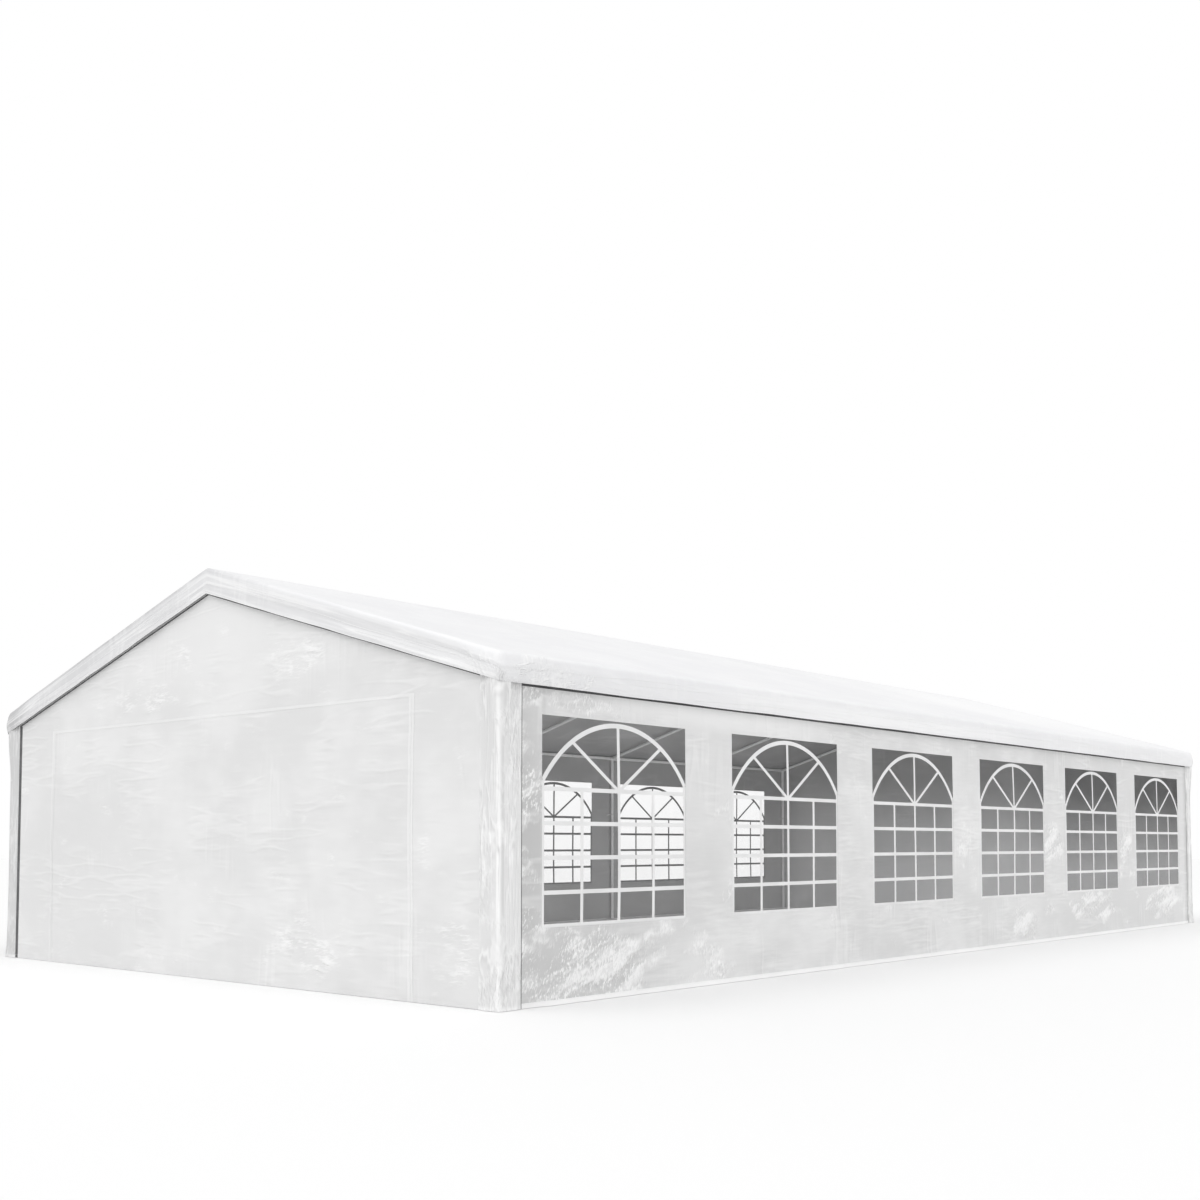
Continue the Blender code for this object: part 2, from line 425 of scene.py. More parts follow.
wallLook = {
    "colour": 0.83,
    "shade": 0.725,
    "glint": 0.98,
    "roughness": 0.42,
    "specular": 0.5,
    "tapePitch": 0.005,
    "tapeHeight": 0.00006,
    "crease": 0.0012,
    "crinkle": 0.003,
    "drape": 0.012,
    "drapeScale": (0.7, 2.6, 1),
    "drapeTurn": 0.25,
    "levelScale": (0.75, 6.5, 1),
    "uprightScale": (6.0, 0.7, 1),
    "darkSide": 0.11,
    "brushScale": (6.0, 42, 1),
    "brush": 2.4,
    "pleated": (0.45, 0.68),
    "patch": (0.58, 0.8),
    "foldTurn": -0.38,
    "foldScale": (1.7, 6.5, 1),
    "litShare": 0.6,
    "fleck": (0.49, 0.62),
    "strokeScale": (84, 30, 1),
    "strokeTurn": 0.33,
    "fleckLight": 1.0,
    "gapShade": 0.45,
    "shadowColour": 0.55,
    "foldLight": 0.25,
    "foldShade": 0.14,
    "streaks": [],
    # crumpled places: middle along and up the wall, reach each way, strength
    "crumpled": [
        ((-5.35, 0.18), (0.75, 0.42), 0.3),
        ((-5.8, 1.1), (0.25, 1.3), 0.2),
        ((-5.4, 1.84), (0.8, 0.12), 0.19),
        ((-4.75, 0.2), (0.45, 0.36), 0.26),
        ((-4.0, 0.15), (0.5, 0.3), 0.2),
        ((-0.04, 0.96), (0.3, 0.22), 0.22),
        ((1.8, 1.0), (0.36, 0.34), 0.38),
        ((3.8, 0.98), (0.36, 0.3), 0.3),
        ((1.2, 0.24), (0.7, 0.24), 0.26),
        ((2.9, 0.3), (0.9, 0.26), 0.36),
        ((4.9, 0.3), (0.9, 0.26), 0.36),
    ],
    # places with painted shade and painted light: the same, and their colour; the wall's left end and lower
    # left, its far part and right end get painted shade, the strip under the band painted light
    "tones": [
        ((-5.9, 1.0), (0.6, 1.6), 0.9, 0.53),
        ((-5.2, 0.25), (0.9, 0.6), 0.6, 0.53),
        ((-4.0, 1.15), (0.5, 1.0), 0.45, 0.7),
        ((-3.7, 1.9), (2.0, 0.2), 0.8, 0.93),
        ((4.0, 1.1), (3.6, 2.6), 0.7, 0.69),
        ((5.85, 1.0), (0.16, 40.0), 0.8, 0.56),
    ],
    "seed": 2.0,
}
gableLook = {
    **wallLook,
    "shade": 0.76,
    "strokeScale": (15, 75, 1),
    "strokeTurn": 0.12,
    "pleated": (0.52, 0.75),
    "patch": (0.56, 0.82),
    "foldTurn": -0.12,
    "foldScale": (3.0, 14.0, 1),
    "litShare": 0.28,
    "crinkle": 0.002,
    "drape": 0.02,
    "drapeTurn": -0.15,
    "brushScale": (2.6, 17, 1),
    "brush": 1.7,
    "levelScale": (1.1, 7.5, 1),
    "foldLight": 0.24,
    "foldShade": 0.1,
    "fleckLight": 0.6,
    "gapShade": 0.1,
    "crumpled": [
        ((-1.05, 2.22), (0.5, 0.22), 0.22),
        ((0.4, 2.35), (0.4, 0.2), 0.2),
        ((0.75, 2.1), (0.6, 0.2), 0.2),
        ((-1.2, 0.26), (0.6, 0.26), 0.26),
        ((-2.6, 0.3), (0.35, 0.5), 0.14),
    ],
    # painted light near the gable's top and painted shade lower down on its back half
    "tones": [((0.0, 2.6), (2.2, 0.8), 0.7, 0.875), ((1.9, 0.7), (1.7, 1.1), 0.7, 0.745)],
    "seed": 5.0,
}
roofLook = {
    **wallLook,
    "colour": (0.895, 0.01),
    "shade": (0.867, 0.015),
    "specular": 0.25,
    "brush": 0.8,
    "patch": (0.66, 0.8),
    "crinkle": 0.0025,
    "crease": 0.001,
    "levelScale": (6.5, 0.75, 1),
    "uprightScale": (0.7, 6.0, 1),
    "foldScale": (5.0, 16.0, 1),
    "litShare": 0.3,
    "fleckLight": 0.5,
    "gapShade": 0.3,
    "shadowColour": (0.68, 0.01),
    "foldShade": 0.06,
    "drape": 0.01,
    "crumpled": [((-5.75, -3.12), (1.0, 0.2), 0.26), ((-6.12, -2.8), (0.2, 0.5), 0.2)],
    # painted shade along the left gable band, its back corner, the rake's top edge and the front band's ends;
    # painted light on the front slope and the front band's middle
    "tones": [
        ((-5.75, -3.14), (0.9, 0.14), 0.35, (0.76, 0.005)),
        ((-6.14, 0.0), (0.16, 30.0), 0.3, 0.79),
        ((-6.14, 1.6), (0.18, 2.6), 0.5, (0.68, 0.005)),
        ((-6.14, 2.98), (0.22, 0.45), 0.8, (0.47, 0.005)),
        ((4.2, -1.3), (3.6, 2.1), 0.85, (0.95, 0.005)),
        ((-1.6, -3.14), (3.6, 0.14), 0.75, (0.975, 0.005)),
        ((4.4, -3.14), (2.6, 0.14), 0.45, (0.78, 0.005)),
        ((6.06, -3.14), (0.12, 0.3), 0.8, (0.58, 0.005)),
        ((-6.02, 1.6), (0.03, 2.8), 0.7, (0.42, 0.005)),
    ],
    # strips with creases along them, each a painted highlight line with painted shade beside it: middle,
    # reach, scale of the creases, strength
    "streaks": [
        ((-6.13, 0.0), (0.15, 30.0), (17, 0.45, 1), 0.6),
        ((6.13, 0.0), (0.15, 30.0), (17, 0.45, 1), 0.6),
        ((0.0, -3.13), (60.0, 0.15), (0.4, 13, 1), 0.12),
        ((0.0, 3.13), (60.0, 0.15), (0.4, 13, 1), 0.12),
    ],
    "seed": 9.0,
}
coverLook = {
    **wallLook,
    "shade": 0.78,
    "patch": (0.45, 0.65),
    "levelScale": (10, 3, 1),
    "uprightScale": (19, 1.5, 1),
    "crease": 0.0016,
    "strokeScale": (60, 18, 1),
    "strokeTurn": -0.5,
    "crinkle": 0.0025,
    "foldScale": (26, 4.5, 1),
    "foldTurn": 0.12,
    "litShare": 0.35,
    "fleckLight": 0.4,
    "gapShade": 0.35,
    "shadowColour": 0.64,
    "foldLight": 0.6,
    "foldShade": 0.55,
    "pleated": (0.35, 0.55),
    "drape": 0.0,
    "crumpled": [((0.09, 1.8), (0.1, 0.5), 0.15), ((0.0, 0.1), (0.3, 0.3), 0.1)],
    # painted shade on the gable side, a painted highlight along the bend with painted shade just beside it,
    # and lighter along the foot
    "tones": [
        ((-0.09, 1.0), (0.09, 40.0), 0.5, 0.7),
        ((-0.006, 0.7), (0.015, 2.2), 1.0, 0.99),
        ((0.02, 0.8), (0.014, 2.2), 0.7, 0.66),
        ((0.0, 0.0), (9.0, 0.035), 1.0, 0.98),
    ],
    "seed": 12.0,
}
# the front right cover gets painted shade on its bend and along its far edge instead of the highlight
rightCoverShade = [((0.01, 1.0), (0.06, 40.0), 0.9, 0.58), ((0.165, 1.0), (0.04, 40.0), 1.0, 0.48)]
# the sheets' inner side is a darker copy of the wall cloth: painted shade for the tent's dim inside, darker
# towards the top
insideLook = {
    **wallLook,
    "colour": 0.5,
    "shade": 0.455,
    "glint": 0.58,
    "crumpled": [],
    "tones": [((0.0, 2.2), (60.0, 1.0), 0.6, 0.37)],
    "drape": 0.006,
    "brush": 0.5,
    "fleckLight": 0.3,
    "seed": 15.0,
}
filmLook = {"colour": (0.75, 0.01), "alpha": 0.03, "hazeTop": 1.6, "ripple": 0.003}


def filmFinish(name, hazeShare):
    film = Finish(name, Base_Color=tint(filmLook["colour"]), Roughness=0.08)
    place = film.sheetPlace()
    ripple = film.cloud(place, (2.2, 3.1, 1), detail=2)
    cloudy = film.cloud(place, (5, 4, 1), (2, 2, 0), 4)
    # the film is hazier towards its foot and clearer near the tent's left end; this haze is painted light
    # that lightens the inside seen through the lower panes
    low = 1 - film.part(place, 1).between(0.55, filmLook["hazeTop"])
    right = film.part(place, 0).between(-4.6, 0.2)
    hazeLight = low * (right * 0.9 + 0.1) * (0.7 + cloudy * 0.6)
    film.set(Alpha=filmLook["alpha"] + hazeLight * hazeShare + (cloudy - 0.5) * 0.03)
    film.set(Normal=film.bump(ripple * filmLook["ripple"]))
    return film


def printFinish(name, light, dark):
    # bars printed on the film
    bars = Finish(name, Roughness=0.35)
    place = bars.objectPlace()
    grain = bars.cloud(place, (90, 90, 90), detail=3)
    soft = bars.cloud(place, (3, 3, 3), (4, 0, 0))
    bars.set(Base_Color=bars.mix(soft.between(0.3, 0.7), dark, light), Normal=bars.bump(grain * 0.0002))
    return bars


def tubeFinish():
    # powder-coated steel with fine orange peel and a few scuffs
    tube = Finish("tube_white_coat")
    place = tube.objectPlace()
    peel = tube.cloud(place, (260, 260, 260), detail=2)
    dust = tube.cloud(place, (4, 4, 2.5), (1, 0, 0), 4)
    scuff = tube.crest(place, (24, 24, 5), (0, 3, 0), 0.02) * tube.cloud(place, (6, 6, 4)).between(0.58, 0.66)
    coat = tube.mix(dust.between(0.3, 0.7), 0.9, 0.95)
    tube.set(Base_Color=tube.mix(scuff, coat, (0.45, 0.01)), Roughness=0.34 + dust * 0.12)
    tube.set(Normal=tube.bump(peel * 0.00012 - scuff * 0.0001))
    return tube


def shadowStripFinish():
    # a dark strip of painted shade for the slits, with a woven look and short loops
    shadowStrip = Finish("tape_dark_grey", Roughness=0.9, Sheen_Weight=0.3)
    place = shadowStrip.objectPlace()
    loops = shadowStrip.cloud(place, (420, 420, 420), detail=2)
    darkMottle = shadowStrip.cloud(place, (7, 7, 9), (2, 0, 0), 3)
    shadowStrip.set(Base_Color=shadowStrip.mix(darkMottle.between(0.35, 0.7), (0.05, 0.002), (0.1, 0.004)))
    shadowStrip.set(Normal=shadowStrip.bump(loops * 0.0006))
    return shadowStrip


def webbingFinish(name, light, dark):
    webbing = Finish(name, Roughness=0.75, Sheen_Weight=0.2)
    place = webbing.objectPlace()
    ribs = (webbing.part(place, 2) * 2600).sine() * 0.5 + 0.5
    worn = webbing.cloud(place, (9, 9, 7), detail=3)
    webbing.set(Base_Color=webbing.mix(worn.between(0.3, 0.7), dark, light))
    webbing.set(Normal=webbing.bump(ribs * 0.0003))
    return webbing


def boltFinish():
    zinc = Finish("bolt_zinc", Metallic=0.85)
    cloudy = zinc.cloud(zinc.objectPlace(), (70, 70, 70), detail=3)
    zinc.set(Base_Color=zinc.mix(cloudy.between(0.3, 0.7), 0.6, (0.78, -0.01)))
    zinc.set(Roughness=0.3 + cloudy * 0.2, Normal=zinc.bump(cloudy * 0.0001))
    return zinc


wallCloth = clothFinish("wall_sheet", wallLook)
gableCloth = clothFinish("gable_sheet", gableLook)
roofCloth = clothFinish("roof_sheet", roofLook)
coverCloth = {
    "FrontLeft": clothFinish("corner_sheet", coverLook),
    "FrontRight": clothFinish("corner_sheet_right", coverLook, tones=rightCoverShade),
    # the back covers are a darker copy of the corner cloth: painted shade
    "BackLeft": clothFinish("corner_sheet_back", coverLook,
                            colour=0.63, shade=0.57, glint=0.82),
}
coverCloth["BackRight"] = coverCloth["BackLeft"]
# inner sides: painted shade, with the roof's inner side darkest
insideWall = clothFinish("wall_inner_side", insideLook)
insideRoof = clothFinish("roof_inner_side", insideLook, colour=(0.34, 0.005), shade=(0.31, 0.005))
hemCloth = clothFinish("hem_sheet", wallLook, colour=0.99, shade=0.95,
                       crumpled=[], tones=[], foldShade=0.05)
seamCloth = clothFinish("seam_tape", gableLook, colour=0.875, shade=0.835)
film = {"front": filmFinish("window_film_clear", 0.2), "back": filmFinish("window_film_back", 0.02)}
barPrint = printFinish("window_bar_white", 0.88, 0.8)
# the bars' faces that look into the tent are dark grey as painted shade
barBack = printFinish("window_bar_back", 0.22, 0.17)  # faces into the tent
tubeCoat = tubeFinish()
darkShadowStrip = shadowStripFinish()
threadCloth = webbingFinish("thread_white", 0.89, 0.85)
tieWebbing = webbingFinish("webbing_white", (0.82, -0.01), (0.7, -0.01))
zinc = boltFinish()
print("finishes made")


# How far the cloth stands out from its flat place

slack = {
    "inset": 0.001,  # behind the face of the plate that a wall stands for
    "billow": 0.010,
    "sway": 0.004,
    "crease": 0.0045,
    "calmTop": 1.87,  # above this height the walls lie flat under the roof cover's band
    "calmEnd": 0.21,  # and so do their ends, under the corner covers
    "windowMargin": 0.035,
    "gableBillow": 0.016,
    "gableHigh": 2.4,  # where that one ends
    "hemKick": 0.022,
    "hemHeight": 0.07,
}
# how far these lie in front of a wall or a corner cover
proud = {
    "seam": 0.0008,
    "hem": 0.001,
    "darkShadowStrip": 0.0011,
    "doorTape": 0.0014,
    "stitch": 0.0022,
    "teeth": 0.0024,
}
hair = 1e-6  # less than any real distance


def calmEdges(x, z, endReach, topReach):
    # 0 where a long wall's ends and top are held, and 1 in the open
    return smooth(lastLeg - abs(x), slack["calmEnd"], endReach) * smooth(slack["calmTop"] - z, 0, topReach)


def wallSwell(side, x, z):
    # shared by a long wall, its films and their bars
    bay = sin(pi * (x - firstLeg) / legSpacing) ** 2
    height = sin(pi * min(1.0, z / slack["calmTop"]))
    loose = 0.5 + 0.5 * wave(x / 1.1, z / 0.8, 3.1 * side)
    out = slack["billow"] * bay * height * (0.5 + loose) + slack["sway"] * loose
    return calmEdges(x, z, 0.5, 0.15) * out


def awayFromWindow(x, z):
    # distance to the nearest window's edge, and 0 inside one
    return min(hypot(max(left - x, x - right, 0), max(bottom - z, z - top, 0))
               for left, right, bottom, top in windows)


def insideWindow(x, z):
    return awayFromWindow(x, z) == 0


def wallCrease(side, x, z):
    calm = calmEdges(x, z, 0.4, 0.1) * smooth(awayFromWindow(x, z), slack["windowMargin"], 0.1)
    level = ridged(x / 0.8, z / 0.2, 5 * side) ** 2
    steep = ridged(x / 0.22 + z / 0.9, z / 0.7, 7 * side) ** 2
    kick = slack["hemKick"] * max(0.0, 1 - z / slack["hemHeight"]) ** 2
    kick *= 0.85 + 0.6 * wave(x / 0.15, 0, 9 * side)
    return calm * (slack["crease"] * (0.5 * level + 0.6 * steep) + kick)


def wallPoint(side, offset=0.0):
    # place on a long wall at x along it and z up it, offset outwards
    def place(x, z):
        out = wallFace - slack["inset"] + wallSwell(side, x, z) + wallCrease(side, x, z) + offset
        return x, side * out, z
    return place


def gableBandHem(y):
    return ridgeHem - bandSlope * abs(y)


def gablePoint(end, offset=0.0):
    def place(y, z):
        calm = smooth(wallFace - abs(y), slack["calmEnd"], 0.6)
        calm *= smooth(gableBandHem(y) - 0.05 - z, 0, 0.2)
        loose = 0.5 + 0.5 * wave(y / 1.3, z / 0.9, 4.7 * end)
        level = ridged(y / 1.1, z / 0.22, 11 * end) ** 2
        steep = ridged(y / 0.3 + z / 1.5, z / 0.9, 13 * end) ** 2
        rise = sin(pi * min(1.0, z / slack["gableHigh"]))
        swell = slack["gableBillow"] * rise * loose + slack["crease"] * (0.5 * level + 0.4 * steep)
        return end * (gableFace - slack["inset"] + calm * swell + offset), y, z
    return place


# Roof cover

roof = {
    "inset": 0.0005,  # under the plate's top
    "cell": 0.06,
    "edgeRadius": 0.024,
    "cornerRadius": 0.05,
    "ridgeRadius": 0.012,
    "ridgeLines": (-0.02, -0.008, 0, 0.008, 0.02),
    "thickness": 0.0009,
    "bandRows": 12,
    "sag": 0.026,
    "ripple": 0.008,
    "foldDepth": 0.013,
    "hemWave": 0.004,
    "cornerReach": (0.12, 0.4),
    "cornerPull": 0.004,  # towards the corner cover at the hem
    "cornerBulge": 0.012,
    "cornerDrop": 0.026,
    "flatSlopes": (12.06, 6.32),  # length along the ridge, and width over both slopes
    "flatBands": (0.19, 0.17),  # beyond them at the gables and at the eaves
}


def edgeLines(half, marks=()):
    # close lines over the rounded edge, and even ones between the two edges
    radius = roof["edgeRadius"]
    rounded = [half - radius * (1 - sin(radians(22.5 * step))) for step in range(4)] + [half]
    inner = half - roof["cornerRadius"]
    return [-line for line in rounded[::-1]] + bothWays(inner, roof["cell"], marks) + rounded


def roundCorner(x, y):
    # turns the plan's square corners into quarter discs, and gives the way outwards there
    radius = roof["cornerRadius"]
    p = (abs(x) - (roofHigh.x - radius)) / radius
    q = (abs(y) - (roofHigh.y - radius)) / radius
    if p <= 0 or q <= 0:
        out = Vector((1, 0)) if p > q else Vector((0, 1))
        return x, y, Vector((copysign(out.x, x), copysign(out.y, y)))
    reach = max(p, q)
    angle = radians(45) * min(p, q) / reach
    near, far = reach * cos(angle), reach * sin(angle)
    p, q = (near, far) if p >= q else (far, near)
    out = Vector((copysign(p, x), copysign(q, y))).normalized()
    x = copysign(roofHigh.x - radius + p * radius, x)
    y = copysign(roofHigh.y - radius + q * radius, y)
    return x, y, out


def nearCorner(x, y):
    # 1 at the roof's corners and 0 further along its edges
    return 1 - smooth(max(roofHigh.x - abs(x), roofHigh.y - abs(y)), *roof["cornerReach"])


def roofHeight(x, y):
    radius = roof["ridgeRadius"]
    height = roofHigh.z - roof["inset"] + roofSlope * (radius - hypot(y, radius))
    bay = sin(pi * (x - firstLeg) / legSpacing) ** 2 if abs(x) < lastLeg else 0
    across = min(1.0, abs(y) / legLine)
    height -= roof["sag"] * bay * sin(pi * across)
    height += roof["ripple"] * (0.5 + 0.5 * wave(x / 0.55, y / 0.8, 2.2)) * sin(pi * across)
    inset = max(0.0, min(roofHigh.x - abs(x), roofHigh.y - abs(y)))
    edge = roof["edgeRadius"]
    if inset < edge:
        height -= edge - sqrt(edge * edge - (edge - inset) ** 2)
        height -= roof["cornerDrop"] * nearCorner(x, y) * (1 - inset / edge) ** 2
    return height


def bandPlace(x, y, depth):
    # a point of the hanging band below the edge at x, y; depth runs from 0 at the top to 1 at the hem
    roundX, roundY, out = roundCorner(x, y)
    top = roofHeight(x, y)
    onGable = smooth(abs(out.x), 0.3, 0.95)
    along = x + 1.7 * y
    hem = gableBandHem(y) + roof["hemWave"] * wave(along / 0.5, 0, 6.5)
    crease = 0.5 + 0.15 * wave(along / 1.3, 0, 4.5)
    fold = 1 - abs(depth - crease) / (crease if depth < crease else 1 - crease)
    pull = -roof["foldDepth"] * fold * (0.8 + 0.6 * wave(along / 0.7, 0, 1.5)) * onGable
    loose = depth * (0.007 * wave(along / 0.6, depth * 0.4, 3.5) + 0.003 * wave(along / 0.17, depth, 8.5))
    bulge = 0.004 * sin(pi * depth) * (1 - onGable)
    near = nearCorner(x, y)
    atCorner = roof["cornerBulge"] * sin(pi * depth) - roof["cornerPull"] * depth
    offset = (pull + loose + bulge) * (1 - near) + atCorner * near
    return roundX + out.x * offset, roundY + out.y * offset, top + (hem - top) * depth, out


def slopePlace(x, y):
    return *roundCorner(x, y)[:2], roofHeight(x, y)


def makeRoofCover():
    columns = edgeLines(roofHigh.x)
    rows = edgeLines(roofHigh.y, roof["ridgeLines"])
    patch = Patch().grid(columns, rows, slopePlace)
    width = len(columns)
    last = (len(rows) - 1) * width
    upper = [*range(width - 1), *range(width - 1, last + width - 1, width)]
    upper += [*range(last + width - 1, last, -1), *range(last, 0, -width)]
    edge = [patch.spread[corner] for corner in upper]
    flatDepth = roof["flatBands"][1]
    for row in range(1, roof["bandRows"] + 1):
        depth = row / roof["bandRows"]
        start = len(patch.points)
        lower = [*range(start, start + len(edge))]
        for x, y in edge:
            *point, out = bandPlace(x, y, depth)
            patch.points.append(Vector(point))
            patch.spread.append((x + out.x * flatDepth * depth, y + out.y * flatDepth * depth))
        for here in range(len(edge)):
            after = (here + 1) % len(edge)
            patch.faces.append((lower[here], lower[after], upper[after], upper[here]))
        upper = lower
    cover = patch.sheet("roofCover", roofCloth, roof["thickness"], 60, insideRoof)
    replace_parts(ridePiece(cover), "roof_cover")
    return edge


roofEdge = makeRoofCover()
print("roof cover made")


# Long walls with their windows, and gable walls with a zipped door

wall = {
    "cell": 0.05,
    "rowCell": 0.04,
    "thickness": 0.0009,
    "end": 5.975,  # hidden inside the rounded corner covers
    "gableEnd": 2.975,
    "straightTop": 1.99,  # above this height a gable's rows close up towards the rake
    "hem": 0.03,
}
door = {
    "zip": 2.23,  # from the gable's middle
    "zipTape": 0.024,  # half its width
    "seam": (1.878, 1.9),
    "thickness": 0.0008,
}
hemTop = hemHeight + wall["hem"]


def upTo(lines, top):
    return [line for line in lines if line <= top + hair]


def hemmedWall(name, node, cloth, finish, hem, hemFinish):
    # a wall's sheet, and the strip along its foot
    sheet = cloth.sheet(name, finish, wall["thickness"], inside=insideWall)
    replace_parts(ridePiece(sheet), node)
    return sheet, ridePiece(hem.sheet(f"{name}Hem", hemFinish, wall["thickness"]))


def makeLongWalls():
    marksX = [edge for left, right, *heights in windows for edge in (left, right)]
    marksZ = [*windows[0][2:], hemHeight + wall["hem"] / 2, hemTop, slack["hemHeight"]]
    columns = bothWays(wall["end"], wall["cell"], marksX)
    rows = evenLines(hemHeight, wallHigh.z, wall["rowCell"], marksZ)
    flat = (2 * wall["end"], wallHigh.z - hemHeight)
    hole = sum((right - left) * (top - bottom) for left, right, bottom, top in windows)
    for label, side in sides.items():
        cloth = Patch().grid(columns, rows, wallPoint(side), insideWindow)
        hem = Patch().grid(columns, upTo(rows, hemTop), wallPoint(side, proud["hem"]))
        sheet, strip = hemmedWall(f"{label}Wall", f"{label}_wall", cloth, wallCloth, hem, hemCloth)
        flat[0] * flat[1] - hole
    return columns


def makeGableWalls():
    kink = wall["straightTop"]
    zipEdges = door["zip"] - door["zipTape"], door["zip"] + door["zipTape"]
    marks = [sign * edge for sign in (-1, 1) for edge in zipEdges] + [0]
    columns = bothWays(wall["gableEnd"], wall["cell"], marks)
    straight = evenLines(hemHeight, kink, wall["rowCell"], (hemTop, *door["seam"]))
    rake = evenLines(kink, kink + 1, wall["cell"])[1:]
    between = [column for column in columns if abs(column) <= zipEdges[0] + hair]
    for label, end in ends.items():
        onWall, onDoor = gablePoint(end), gablePoint(end, proud["doorTape"])

        def place(y, v):
            top = gableHigh.z - roofSlope * abs(y)
            return onWall(y, v if v <= kink else kink + (v - kink) * (top - kink))

        cloth = Patch().grid(columns, straight + rake, place)
        cloth.spread = [(y, point.z) for (y, v), point in zip(cloth.spread, cloth.points)]
        hem = Patch().grid(columns, upTo(straight, hemTop), gablePoint(end, proud["hem"]))
        names = f"{label}GableWall", f"{label}_gable_wall"
        sheet, strip = hemmedWall(*names, cloth, gableCloth, hem, gableCloth)
        seams = Patch()
        for sign in (-1, 1):
            edges = sorted(sign * edge for edge in zipEdges)
            seams.grid(edges, upTo(straight, door["seam"][1]), onDoor)
        seams.grid(between, door["seam"], onDoor)
        tapes = ridePiece(seams.sheet(f"{label}DoorTapes", seamCloth, door["thickness"]))


wallColumns = makeLongWalls()
makeGableWalls()
print("walls made")


# Corner covers

cover = {
    "inset": 0.0012,
    "radius": 0.03,
    "gableWidth": 0.168,
    "longWidth": 0.18,
    "thickness": 0.0009,
    "cell": 0.014,
    "rowCell": 0.045,
    "fold": 0.007,
    "flare": 0.009,
    "flareHeight": 0.14,
    "topFlare": 0.0255,  # reaches the band of the roof cover
    "radiusSteps": 7,
}
coverEdge = {"long": -coverLow.x - cover["longWidth"], "gable": -coverLow.y - cover["gableWidth"]}
# across its width, a cover is measured from the middle of its bend, with the gable's side below 0
coverBend = cover["radius"] * pi / 4
coverFirst = -(cover["gableWidth"] - cover["radius"] + coverBend)
coverLast = cover["longWidth"] - cover["radius"] + coverBend


def coverPath(along):
    # distance in from the gable face and from the long face, and the way outwards
    radius = cover["radius"]
    if along < -coverBend:
        return 0.0, radius - along - coverBend, (1, 0)
    if along > coverBend:
        return radius + along - coverBend, 0.0, (0, 1)
    angle = (along + coverBend) / radius
    return radius * (1 - cos(angle)), radius * (1 - sin(angle)), (cos(angle), sin(angle))


def coverPoint(end, side, offset=0.0):
    seed = 2.5 * end + 4.1 * side

    def place(along, z):
        inX, inY, out = coverPath(along)
        rest = smooth((-coverFirst if along < 0 else coverLast) - abs(along), 0, 0.05)
        fold = 0.5 + 0.5 * wave(along / 0.045, z / 1.1, seed)
        fold += 0.5 * ridged(along / 0.06 + z / 2.5, z / 1.3, seed + 2)
        flare = (1 - smooth(z, 0, cover["flareHeight"])) * cover["flare"]
        underBand = smooth(z, 1.5, roofLow.z - 0.02) * (1 - smooth(abs(along), 0.045, 0.11))
        away = rest * (cover["fold"] * fold + flare) * (1 - underBand)
        away = away + cover["topFlare"] * underBand + offset
        x = end * (-coverLow.x - cover["inset"] - inX + out[0] * away)
        y = side * (-coverLow.y - cover["inset"] - inY + out[1] * away)
        return x, y, z
    return place


def makeCornerCovers():
    steps = cover["radiusSteps"]
    bendLines = [-coverBend + 2 * coverBend * step / steps for step in range(steps + 1)]
    columns = evenLines(coverFirst, coverLast, cover["cell"], bendLines)
    rows = evenLines(coverLow.z, coverHigh.z, cover["rowCell"])
    for face, side in sides.items():
        for hand, end in ends.items():
            label = face.title() + hand.title()
            cloth = Patch().grid(columns, rows, coverPoint(end, side))
            sheet = cloth.sheet(f"cornerCover{label}", coverCloth[label], cover["thickness"])
            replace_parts(ridePiece(sheet), f"corner_cover_{face}_{hand}")


# Dark strips of painted shade in the slit under the roof cover's band and at each wall's left end

shadowStrip = {
    "end": 5.99,
    "cell": 0.1,
    "rowCell": 0.05,
    "thickness": 0.0008,
    "above": 0.006,  # the band's hem
    "below": {"long": 0.010, "gableBack": 0.005, "gableFront": 0.0105},
    "beside": {"long": 0.009, "gable": 0.04},  # a corner cover's edge
    "under": 0.008,  # the corner cover
}


def makeWallShadowStrips():
    patch = Patch()

    def upright(face, edge, inwards, top, place):
        edges = sorted((edge + inwards * shadowStrip["beside"][face], edge - inwards * shadowStrip["under"]))
        patch.grid(edges, evenLines(hemHeight, top, shadowStrip["rowCell"]), place)

    low, high = roofLow.z - shadowStrip["below"]["long"], roofLow.z + shadowStrip["above"]
    for side in (-1, 1):
        onWall = wallPoint(side, proud["darkShadowStrip"])
        patch.grid(bothWays(shadowStrip["end"], shadowStrip["cell"]), [low, high], onWall)
        upright("long", side * coverEdge["long"], -side, low, onWall)
    for end in (-1, 1):
        onGable = gablePoint(end, proud["darkShadowStrip"])
        for half, label in ((-1, "gableFront"), (1, "gableBack")):
            shows = shadowStrip["below"][label]

            def place(y, part):
                return onGable(y, gableBandHem(y) - shows + part * (shadowStrip["above"] + shows))

            patch.grid(evenLines(*sorted((0, half * wall["gableEnd"])), shadowStrip["cell"]), [0, 1], place)
        upright("gable", -end * coverEdge["gable"], end, gableBandHem(coverEdge["gable"]), onGable)
    ridePiece(patch.sheet("wallShadowStrip", darkShadowStrip, shadowStrip["thickness"]))


makeCornerCovers()
makeWallShadowStrips()
print("corner covers and tapes made")


# Windows: clear film with white bars, an arch and spokes printed on it

